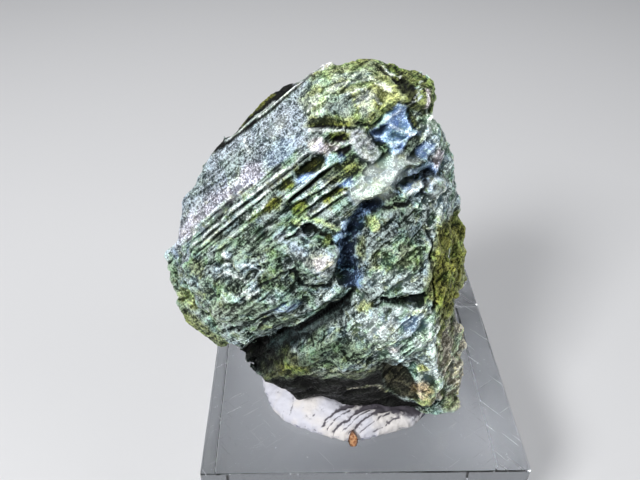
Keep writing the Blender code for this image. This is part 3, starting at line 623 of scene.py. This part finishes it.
rough = 1.0 - 0.92 * plane - 0.25 * dome - 0.5 * sliver - 0.5 * np.clip(skin.calm - plane, 0.0, 1.0)
splinters = field(layers / SPLINTER_SIZE, chip) * SPLINTER_HEIGHT
shards = field(layers / SHARD_SIZE + 17.0, chip) * SHARD_HEIGHT
grit = field(places / GRIT_SIZE, chip) * GRIT_HEIGHT
lumps = field(places / LUMP_SIZE, clouds(2)) * LUMP_HEIGHT
knobbly = 0.35 + skin.oval(-1.2, 1.3, 2.4, 1.9) + skin.oval(-11.0, -3.0, 3.5, 4.0)
knobs = field(places / KNOB_SIZE, nodule) * KNOB_HEIGHT * knobbly
cracks = -CRACK_DEPTH * (1.0 - smooth_step(0.0, CRACK_WIDTH, field(places / CRACK_PITCH, crack)))
striation = 0.5 - np.abs(field(layers / STRIATION_SIZE, noise.noise))
grain = lumps + splinters + shards + grit + knobs + cracks
grain = (grain - GRAIN_LEVEL) * rough * (1.0 - 0.6 * ledge_zone) + striation * STRIATION_HEIGHT * ledge_zone
grain += plane * field(places / PITTING_SIZE, nodule) * PITTING_HEIGHT

places += OUT_OF_FACE * skin.relief[:, None] + normals * grain[:, None]
lowest, highest = (np.array(corner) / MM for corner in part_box("stone"))
places = np.clip(places, lowest, highest)
write_places(stone_mesh, places)
normals = read_normals(stone_mesh)

# What the colours follow: small creases and edges, wide hollows and swells, where the material paints shade
# in creases and hollows and highlights on edges and swells, and the marks laid above. Each depth is taken
# over a few rounds of neighbours or many, and reaches dark or bright within its span.
CREASE_ROUNDS, CREASE_SPAN = 3, 0.16
HOLLOW_ROUNDS, HOLLOW_SPAN = 30, 0.9
creases = stands_in(stone_mesh, places, normals, CREASE_ROUNDS)
hollows = stands_in(stone_mesh, places, normals, HOLLOW_ROUNDS)
give_number(stone_mesh, "crease", np.clip(0.5 + creases / CREASE_SPAN, 0.0, 1.0))
give_number(stone_mesh, "hollow", np.clip(0.5 + hollows / HOLLOW_SPAN, 0.0, 1.0))
give_number(stone_mesh, "plane", plane)
give_number(stone_mesh, "calm", skin.calm)
give_number(stone_mesh, "streaked", np.clip(ledge_zone + 0.45, 0.0, 1.0) * (1.0 - 0.8 * dome))
give_colour(stone_mesh, "deep", skin.deep)
give_colour(stone_mesh, "bright", skin.bright)

stone = bpy.data.objects.new("rough_stone", stone_mesh)
bpy.context.scene.collection.objects.link(stone)


class Socket:
    """A value in a material, so that its maths reads as plain sums."""

    def __init__(self, tree, out):
        self.tree = tree
        self.out = out

    def sum(self, operation, first, second):
        node = self.tree.nodes.new("ShaderNodeMath")
        node.operation = operation
        for place, value in enumerate((first, second)):
            if isinstance(value, Socket):
                self.tree.links.new(value.out, node.inputs[place])
            else:
                node.inputs[place].default_value = value
        return Socket(self.tree, node.outputs[0])

    def __add__(self, other):
        return self.sum("ADD", self, other)

    __radd__ = __add__

    def __sub__(self, other):
        return self.sum("SUBTRACT", self, other)

    def __rsub__(self, other):
        return self.sum("SUBTRACT", other, self)

    def __mul__(self, other):
        return self.sum("MULTIPLY", self, other)

    __rmul__ = __mul__

    def __abs__(self):
        return self.sum("ABSOLUTE", self, 0.0)


class Finish:
    """A piece's material while it is being made."""

    STRETCHED = 1.0 / MM  # the size for noise on stretched coordinates, whose units are sizes already

    def __init__(self, name):
        self.material = bpy.data.materials.new(name)
        self.material.use_nodes = True
        self.tree = self.material.node_tree
        self.surface = self.tree.nodes["Principled BSDF"]
        self.coords = self.node("ShaderNodeTexCoord", "Object")

    def feed(self, made, name, value):
        socket = next(s for s in made.inputs if s.enabled and s.name == name)
        if isinstance(value, Socket):
            self.tree.links.new(value.out, socket)
        else:
            socket.default_value = value

    def node(self, kind, out, settings=(), values=()):
        """The named output of a new node. Its settings are set first, then its sockets are fed."""
        made = self.tree.nodes.new(kind)
        for name, value in dict(settings).items():
            setattr(made, name, value)
        for name, value in dict(values).items():
            self.feed(made, name, value)
        return Socket(self.tree, next(s for s in made.outputs if s.enabled and s.name == out))

    def set(self, **values):
        for name, value in values.items():
            self.feed(self.surface, name.replace("_", " "), value)

    def attribute(self, name, out="Fac"):
        return self.node("ShaderNodeAttribute", out, {"attribute_name": name})

    def noise(self, size, detail=3.0, roughness=0.5, coords=None, out="Fac"):
        """Soft noise from 0 to 1, its blotches of the given size in millimetres."""
        return self.node("ShaderNodeTexNoise", out, values={
            "Vector": coords or self.coords, "Scale": 1.0 / (size * MM), "Detail": detail,
            "Roughness": roughness,
        })

    def stretched(self, turn, sizes):
        """Coordinates along turned axes, one unit of each being its size in millimetres."""
        return self.node("ShaderNodeMapping", "Vector", {"vector_type": "TEXTURE"}, {
            "Vector": self.coords, "Rotation": turn, "Scale": tuple(size * MM for size in sizes),
        })

    def over(self, value, start, end):
        """0 below start and 1 above end, soft between."""
        return self.node("ShaderNodeMapRange", "Result", {"interpolation_type": "SMOOTHSTEP"}, {
            "Value": value, "From Min": start, "From Max": end,
        })

    def mix(self, factor, first, second, blend="MIX"):
        made = self.tree.nodes.new("ShaderNodeMix")
        made.data_type = "RGBA"
        made.blend_type = blend
        for name, value in (("Factor", factor), ("A", first), ("B", second)):
            self.feed(made, name, value)
        return Socket(self.tree, next(out for out in made.outputs if out.enabled))

    def between(self, operation, first, second, out="Vector", third=(0.0, 0.0, 0.0)):
        """Vectors taken together."""
        made = self.tree.nodes.new("ShaderNodeVectorMath")
        made.operation = operation
        for place, value in enumerate((first, second, third)):
            if isinstance(value, Socket):
                self.tree.links.new(value.out, made.inputs[place])
            else:
                made.inputs[place].default_value = value
        return Socket(self.tree, made.outputs[out])

    def cells(self, size, coords):
        """Crystal grains of the given size: each one's own value, and how far each place is from a gap."""
        pitch = {"Vector": coords, "Scale": 1.0 / (size * MM)}
        own = self.node("ShaderNodeTexVoronoi", "Color", values=pitch)
        gap = self.node("ShaderNodeTexVoronoi", "Distance", {"feature": "DISTANCE_TO_EDGE"}, pitch)
        return self.node("ShaderNodeSeparateColor", "Red", values={"Color": own}), gap

    def facets(self, size):
        """Tiny flat crystal faces, each cell leaning its own way, as a height in cell sizes."""
        cell = self.tree.nodes.new("ShaderNodeTexVoronoi")
        self.feed(cell, "Vector", self.coords)
        self.feed(cell, "Scale", 1.0 / (size * MM))
        away = self.between("SUBTRACT", self.coords, Socket(self.tree, cell.outputs["Position"]))
        lean = self.between("SUBTRACT", Socket(self.tree, cell.outputs["Color"]), (0.5, 0.5, 0.5))
        return self.between("DOT_PRODUCT", away, lean, "Value") * (1.0 / (size * MM))

    def bump(self, height, distance, strength=1.0):
        return self.node("ShaderNodeBump", "Normal", values={
            "Height": height, "Strength": strength, "Distance": distance * MM,
        })


crust = Finish("rough_chrysoberyl")
GRAIN_TURN = Matrix(GRAIN_AXES).transposed().to_euler()
plane_share = crust.attribute("plane")
calm_share = crust.attribute("calm")
streaked = crust.attribute("streaked")
crease = crust.attribute("crease")
CRYSTAL_SIZE = 0.36
CRYSTAL_WAVER = 0.26
waver = crust.noise(0.35, 1.0, 0.5, out="Color")
wavering = crust.between("MULTIPLY_ADD", waver, (CRYSTAL_WAVER * MM,) * 3, third=crust.coords)
crystals, gaps = crust.cells(CRYSTAL_SIZE, wavering)
fine = crust.noise(0.15, 3.0, 0.7)
blotch = crust.noise(1.1, 3.0, 0.6)
streak = crust.noise(Finish.STRETCHED, 2.0, 0.6, crust.stretched(GRAIN_TURN, (4.0, 0.16, 1.5)))
plates = crust.noise(Finish.STRETCHED, 1.0, 0.5, crust.stretched(GRAIN_TURN, (9.0, 0.32, 3.0)))
threads = 1.0 - abs(crust.noise(0.42, 2.0, 0.6) - 0.5) * 13.0
# Thin bright worms: painted glitter, small painted highlights, which also start the painted glints.
worms = 1.0 - abs(crust.noise(0.27, 2.0, 0.6) - 0.5) * 9.0
net = 1.0 - crust.over(gaps, 0.02, 0.12)

# How light each spot is: grain and blotches, threads and crystal outlines, painted glitter, streaks, then
# painted shade in creases and hollows and painted highlight on edges and swells.
tone = 0.27 - plane_share * 0.10 + (fine - 0.5) * 1.4 + (blotch - 0.5) * (1.0 + 0.6 * plane_share)
tone = tone + (crystals - 0.5) * 0.35
tone = tone + crust.over(threads, 0.0, 1.0) * 0.32 + (worms + net) * (0.04 + 0.20 * plane_share)
tone = tone + (streak - 0.5) * (streaked * 1.6) + (plates - 0.5) * (streaked * 1.4)
tone = tone + (0.5 - crease) * (0.85 - 0.5 * plane_share) + (0.5 - crust.attribute("hollow")) * 0.8
light = crust.over(tone, 0.0, 1.0)

# The colour from deep to bright, as grain and as painted shade and highlight, tinted in drifts of green, blue
# and yellow, with painted glints on the lightest.
bright = crust.attribute("bright", "Color")
colour = crust.mix(light, crust.attribute("deep", "Color"), bright)
tinted = 1.0 - 0.7 * calm_share
for size, start, end, tint in (
    (1.6, 0.48, 0.62, (0.78, 1.00, 0.74, 1.0)), (1.3, 0.50, 0.62, (0.86, 0.98, 1.16, 1.0)),
    (0.9, 0.54, 0.66, (1.14, 1.10, 0.72, 1.0)),
):
    colour = crust.mix(crust.over(crust.noise(size, 3.0, 0.6), start, end) * tinted, colour, tint, "MULTIPLY")
# Painted glints: painted highlights on the lightest spots, in a whiter copy of the bright colour.
painted_glint = crust.over(worms + tone, 1.05, 1.55)
glint_colour = crust.mix(0.5, bright, (0.95, 1.0, 0.98, 1.0), "MULTIPLY")
colour = crust.mix(painted_glint * (0.95 - 0.3 * calm_share), colour, glint_colour, "ADD")
crust.set(Base_Color=colour, Specular_IOR_Level=0.22)
height = crust.facets(0.22) * 0.8 + crust.facets(0.5) * 1.0 + fine * 0.7 + streak * (streaked * 1.2)
crust.set(Normal=crust.bump(height, 0.09, 0.9), Roughness=0.75 - 0.45 * light)
stone_mesh.materials.append(crust.material)
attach(stone, "root")
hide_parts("stone")

# The putty: a pad of white mineral putty, pressed flat between the stone and the block by a thumb. It
# fills the gaps that the solids keep, and carries slanting folds at its front and a ragged thin rim.
PUTTY_VOXEL = 0.14
PUTTY_FLOOR = 16.3
PUTTY_TOUCH = 0.27
FOLD_DEEPENING = 0.9
DEEPEST_FOLD = 0.34
RIM_RAGGEDNESS = 0.45
PUTTY_CREASE_ROUNDS, PUTTY_CREASE_SPAN = 4, 0.12

# Each fold: how far it reaches to either side, how deep it is, and its stops across and away.
PUTTY_FOLDS = [
    (0.40, 0.26, [(-5.6, -12.4), (-0.4, -9.4)]), (0.26, 0.16, [(-4.8, -12.5), (-1.4, -10.5)]),
    (0.44, 0.34, [(-4.4, -12.9), (1.0, -9.8)]), (0.24, 0.16, [(-3.2, -12.7), (0.6, -10.5)]),
    (0.40, 0.30, [(-3.0, -13.2), (2.4, -10.1)]), (0.26, 0.18, [(-1.9, -13.1), (2.6, -10.6)]),
    (0.36, 0.22, [(-0.4, -12.9), (3.6, -10.9)]), (0.30, 0.10, [(-7.8, -11.0), (-7.3, -9.6), (-7.2, -8.2)]),
    (0.30, 0.12, [(3.4, -11.7), (6.0, -10.4)]),
]

putty_mesh = fine_blank("putty", PUTTY_VOXEL)
places = read_places(putty_mesh)
normals = read_normals(putty_mesh)
folds = np.zeros(len(places))
drift = field(places / 2.4, clouds(4)) * 0.20
for width, depth, stops in PUTTY_FOLDS:
    far = np.full(len(places), Skin.FAR_AWAY)
    for start, end in zip(stops, stops[1:]):
        far = np.minimum(far, far_from(places[:, 0] + drift, places[:, 1] - drift, start, end))
    folds = np.maximum(folds, depth * (1.0 - np.clip(far / width, 0.0, 1.0)) ** 1.5)
top_side = smooth_step(0.2, 0.7, normals[:, 2])
# The stone's painted shadow on the pad, behind its front and towards the right.
stone_shadow = smooth_step(-11.3, -9.8, places[:, 1] + 0.5 * drift) * smooth_step(-5.0, 1.0, places[:, 0])
rim_side = 1.0 - np.abs(normals[:, 2])
pressed = field(places / 2.2, clouds(3)) * 0.10 + field(places / 0.7, clouds(2)) * 0.05
pressed += rim_side * field(places / 0.6, chip) * RIM_RAGGEDNESS
places += normals * (pressed - FOLD_DEEPENING * folds * top_side)[:, None]
places[:, 2] += PUTTY_TOUCH * top_side
places[:, 2] -= PUTTY_TOUCH * (1.0 - smooth_step(0.0, 0.6, places[:, 2] - PUTTY_FLOOR))
places[:, 2] = np.maximum(places[:, 2], PUTTY_FLOOR - PUTTY_TOUCH)
write_places(putty_mesh, places)
normals = read_normals(putty_mesh)
creases = stands_in(putty_mesh, places, normals, PUTTY_CREASE_ROUNDS)
give_number(putty_mesh, "fold", folds * top_side / DEEPEST_FOLD)
give_number(putty_mesh, "crease", np.clip(0.5 + creases / PUTTY_CREASE_SPAN, 0.0, 1.0))
give_number(putty_mesh, "edge", rim_side)
give_number(putty_mesh, "stone_shadow", stone_shadow)
putty_mesh.shade_smooth()
putty = bpy.data.objects.new("putty_pad", putty_mesh)
bpy.context.scene.collection.objects.link(putty)

paste = Finish("mineral_putty")
grime = paste.noise(0.9, 4.0, 0.65)
fibre = paste.noise(0.25, 3.0, 0.6)
paste_patches = paste.noise(3.0, 2.0, 0.5)
# Darker with grime, and with painted shade in creases and folds and the stone's painted shadow.
grime_and_shade = (paste.attribute("crease") - 0.5) * 1.2 + (grime - 0.5) * 1.2
grime_and_shade = grime_and_shade + paste.attribute("fold") * (0.08 + paste_patches * 0.45)
grime_and_shade = grime_and_shade + paste.attribute("stone_shadow") * 0.8
white_paste = paste.mix(paste.over(paste_patches, 0.38, 0.62), (0.84, 0.80, 0.78, 1.0), (0.74, 0.74, 0.82, 1.0))
grimed_and_shaded = paste.mix(paste.over(grime_and_shade, 0.10, 0.60), white_paste, (0.10, 0.09, 0.11, 1.0))
# The pad's sides darken to blue-grey in specks: dirt, and painted shade on the sides.
rimmed = paste.mix(paste.over(paste.attribute("edge") * grime, 0.40, 0.54), grimed_and_shaded, (0.12, 0.13, 0.24, 1.0))
paste.set(Base_Color=rimmed, Roughness=0.55 + 0.25 * fibre)
paste.set(Normal=paste.bump(grime * 0.8 + fibre * 0.5, 0.10))
putty_mesh.materials.append(paste.material)
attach(putty, "root")
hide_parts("putty")

# The flake: a leaf-shaped chip of brown and orange rock, stuck upright at the pad's front edge.
FLAKE_VOXEL = 0.045
CLEAVAGE_SIZE, CLEAVAGE_HEIGHT = 0.3, 0.10

flake_mesh = fine_blank("flake", FLAKE_VOXEL)
places = read_places(flake_mesh)
normals = read_normals(flake_mesh)
middle = (places.max(axis=0) + places.min(axis=0)) / 2.0
half = (places.max(axis=0) - places.min(axis=0)) / 2.0
outward = np.hypot((places[:, 0] - middle[0]) / half[0], (places[:, 2] - middle[2]) / half[2])
places += normals * (field(places / CLEAVAGE_SIZE, chip) * CLEAVAGE_HEIGHT)[:, None]
write_places(flake_mesh, places)
give_number(flake_mesh, "rim", smooth_step(0.55, 0.9, outward + 0.15 * field(places / 0.25, clouds(2))))
flake = bpy.data.objects.new("rock_flake", flake_mesh)
bpy.context.scene.collection.objects.link(flake)

chip_rock = Finish("rock_flake")
mottle = chip_rock.noise(0.18, 3.0, 0.6)
core = chip_rock.mix(chip_rock.over(mottle, 0.4, 0.6), (0.30, 0.10, 0.03, 1.0), (0.62, 0.34, 0.16, 1.0))
rust = chip_rock.mix(chip_rock.attribute("rim"), core, (0.07, 0.025, 0.012, 1.0))
chip_rock.set(Base_Color=rust, Roughness=0.45, Normal=chip_rock.bump(mottle, 0.05))
flake_mesh.materials.append(chip_rock.material)
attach(flake, "root")
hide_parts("flake")

# The block: a square of clear cast acrylic, diamond polished on all its faces and softly edged. Handling
# has left fine scratches and specks of dust on its top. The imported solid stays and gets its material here.
BLOCK_TOP = 16.0
SCRATCH_TURNS = (35.0, -50.0)
SCRATCH_SIZE = (6.0, 0.13, 4.0)
ACRYLIC_IOR = 1.49
ACRYLIC_ABSORPTION = 6.0

acrylic = Finish("clear_acrylic")
above_table = acrylic.node("ShaderNodeSeparateXYZ", "Z", values={"Vector": acrylic.coords})
on_top = acrylic.over(above_table, (BLOCK_TOP - 0.5) * MM, (BLOCK_TOP - 0.1) * MM)
scratches = 0.0
for turn in SCRATCH_TURNS:
    along_scratch = acrylic.stretched((0.0, 0.0, math.radians(turn)), SCRATCH_SIZE)
    hair = acrylic.noise(Finish.STRETCHED, 1.0, 0.4, along_scratch)
    scratches = scratches + acrylic.over(hair, 0.69, 0.75) * on_top
dust = acrylic.over(acrylic.noise(0.3, 1.0, 0.5), 0.74, 0.80) * on_top
acrylic.set(Base_Color=(0.97, 0.98, 1.0, 1.0), Transmission_Weight=1.0, IOR=ACRYLIC_IOR)
acrylic.set(Roughness=0.01 + 0.30 * scratches + 0.35 * dust)
acrylic.set(Normal=acrylic.bump(scratches + dust, 0.02, 0.9))
depth = acrylic.tree.nodes.new("ShaderNodeVolumeAbsorption")
depth.inputs["Color"].default_value = (0.80, 0.88, 0.96, 1.0)
depth.inputs["Density"].default_value = ACRYLIC_ABSORPTION
acrylic.tree.links.new(depth.outputs["Volume"], acrylic.tree.nodes["Material Output"].inputs["Volume"])
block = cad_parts["block"]
block.data.materials.clear()
block.data.materials.append(acrylic.material)

# The floor: a plain pale sheet, a hair below the block so that the two faces don't fight.
FLOOR_HALF = 1.5
FLOOR_DROP = 0.03 * MM
floor_mesh = bpy.data.meshes.new("floor")
bm = bmesh.new()
below = Matrix.Translation((0.0, 0.0, -FLOOR_DROP))
bmesh.ops.create_grid(bm, x_segments=1, y_segments=1, size=FLOOR_HALF, matrix=below)
bm.to_mesh(floor_mesh)
bm.free()
floor = bpy.data.objects.new("floor", floor_mesh)
bpy.context.scene.collection.objects.link(floor)
paint = Finish("pale_floor")
paint.set(Base_Color=(0.72, 0.72, 0.73, 1.0), Roughness=0.8)
floor_mesh.materials.append(paint.material)

# The studio: a dim grey surround and three soft lights that look at the middle of the stone.
SURROUND_COLOUR = (0.55, 0.57, 0.6, 1.0)
SURROUND_STRENGTH = 0.36
LIGHT_AIM = Vector((-0.004, -0.004, 0.03))
world = bpy.data.worlds.new("studio")
bpy.context.scene.world = world
world.use_nodes = True
surround = world.node_tree.nodes["Background"]
surround.inputs["Color"].default_value = SURROUND_COLOUR
surround.inputs["Strength"].default_value = SURROUND_STRENGTH
bpy.context.scene.view_settings.view_transform = "Standard"


def soft_light(name, place, size, power):
    lamp = bpy.data.lights.new(name, "AREA")
    lamp.size = size
    lamp.energy = power
    made = bpy.data.objects.new(name, lamp)
    bpy.context.scene.collection.objects.link(made)
    made.location = place
    made.rotation_mode = "QUATERNION"
    made.rotation_quaternion = (LIGHT_AIM - Vector(place)).to_track_quat("-Z", "Y")


soft_light("key", (-0.17, -0.20, 0.24), 0.08, 0.95)
soft_light("fill", (0.24, -0.10, 0.20), 0.16, 0.13)
soft_light("top", (-0.02, 0.12, 0.34), 0.12, 0.40)

# The camera: close in front, above the block and looking down at it, with a lens as long as its picture is
# wide.
CAMERA_PLACE = Vector((-6.51, -51.65, 70.5)) * MM
CAMERA_HEADING = math.radians(2.32)
CAMERA_PITCH = math.radians(36.8)
CAMERA_ROLL = math.radians(1.39)
PICTURE_WIDTH = 36.0
NEAREST = 0.001
camera_data = bpy.data.cameras.new("camera")
camera_data.sensor_width = PICTURE_WIDTH
camera_data.lens = PICTURE_WIDTH
camera_data.clip_start = NEAREST
camera = bpy.data.objects.new("camera", camera_data)
bpy.context.scene.collection.objects.link(camera)
turn = Matrix.Rotation(-CAMERA_HEADING, 4, "Z") @ Matrix.Rotation(math.radians(90.0) - CAMERA_PITCH, 4, "X")
camera.matrix_world = Matrix.Translation(CAMERA_PLACE) @ turn @ Matrix.Rotation(CAMERA_ROLL, 4, "Z")
bpy.context.scene.camera = camera
